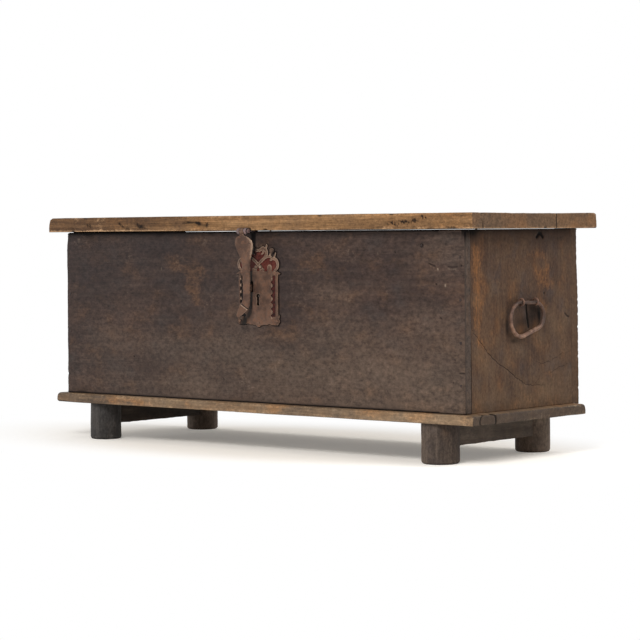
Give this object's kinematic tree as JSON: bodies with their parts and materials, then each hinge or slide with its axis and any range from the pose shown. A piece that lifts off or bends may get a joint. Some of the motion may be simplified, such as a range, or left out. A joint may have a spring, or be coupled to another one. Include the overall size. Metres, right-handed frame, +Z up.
{
  "type": "plank storage chest",
  "caption": "Low plank chest on round feet with a hinged lid, a hasp over a pierced iron lock plate, and a ring handle at each end.",
  "frame": {"origin": "on the floor under the middle of the whole chest", "axes": "+X along the chest to its right end as seen from the lock side, +Y to the hinge side at the back, +Z up"},
  "size_m": [1.2, 0.451, 0.4985],
  "materials": {
    "lid_wood": "worn, waxed, semi-matt",
    "box_wood": "dark stained, worn, semi-matt",
    "base_wood": "worn, matt",
    "foot_wood": "dark, dry, matt",
    "peg_wood": "sawn, matt",
    "plate_iron": "old forged iron with a brown rust skin",
    "ring_iron": "old forged iron, dark",
    "hinge_iron": "old forged iron, dark",
    "nail_iron": "forged heads, dark and rusty",
    "lock_iron": "plain iron, greased",
    "red_leather": "old red leather, matt"
  },
  "bodies": {
    "carcass": {"front_board": "box_wood", "back_board": "box_wood", "left_end_board": "box_wood", "right_end_board": "box_wood", "base_front_plank": "base_wood", "base_middle_plank": "base_wood", "base_back_plank": "base_wood", "foot_front_right": "foot_wood", "foot_front_left": "foot_wood", "foot_back_right": "foot_wood", "foot_back_left": "foot_wood", "left_beam": "foot_wood", "right_beam": "foot_wood", "lock_plate": "plate_iron", "handle_eyes_right": "ring_iron", "handle_eyes_left": "ring_iron", "hinge_staples": "hinge_iron", "front_nails": "nail_iron", "back_nails": "nail_iron", "odd_nail": "nail_iron", "base_nails": "nail_iron", "beam_nails": "nail_iron", "lock_plate_nails": "nail_iron", "lock_case": "lock_iron", "bolt_keepers": "lock_iron", "lock_spring": "lock_iron", "key_pin": "lock_iron", "lock_backing": "red_leather"},
    "lid": {"lid_front_strip": "lid_wood", "lid_middle_plank": "lid_wood", "lid_back_plank": "lid_wood", "lid_dowels": "peg_wood", "lid_hinge_eyes": "hinge_iron", "hasp_hinge_leaf": "plate_iron", "hasp_leaf_nails": "nail_iron", "hasp_hinge_pin": "plate_iron"},
    "hasp": {"hasp": "plate_iron", "hasp_staple": "plate_iron"},
    "bolt": {"lock_bolt": "lock_iron"},
    "right_ring": {"ring_handle_right": "ring_iron"},
    "left_ring": {"ring_handle_left": "ring_iron"}
  },
  "joints": [
    {"name": "lid_hinge", "type": "hinge", "parent": "carcass", "child": "lid", "pos_m": [0, 0.21, 0.456], "axis": [-1, 0, 0], "range_deg": [0, 105]},
    {"name": "hasp_swing", "type": "hinge", "parent": "lid", "child": "hasp", "pos_m": [0.006, -0.2175, 0.4652], "axis": [-1, 0, 0], "range_deg": [-6, 175]},
    {"name": "bolt_slide", "type": "slide", "parent": "carcass", "child": "bolt", "axis": [-1, 0, 0], "range_m": [0, 0.015]},
    {"name": "right_ring_swing", "type": "hinge", "parent": "carcass", "child": "right_ring", "pos_m": [0.5722, 0.015, 0.318], "axis": [0, -1, 0], "range_deg": [-3, 178]},
    {"name": "left_ring_swing", "type": "hinge", "parent": "carcass", "child": "left_ring", "pos_m": [-0.5722, 0.015, 0.318], "axis": [0, 1, 0], "range_deg": [-3, 178]}
  ]
}
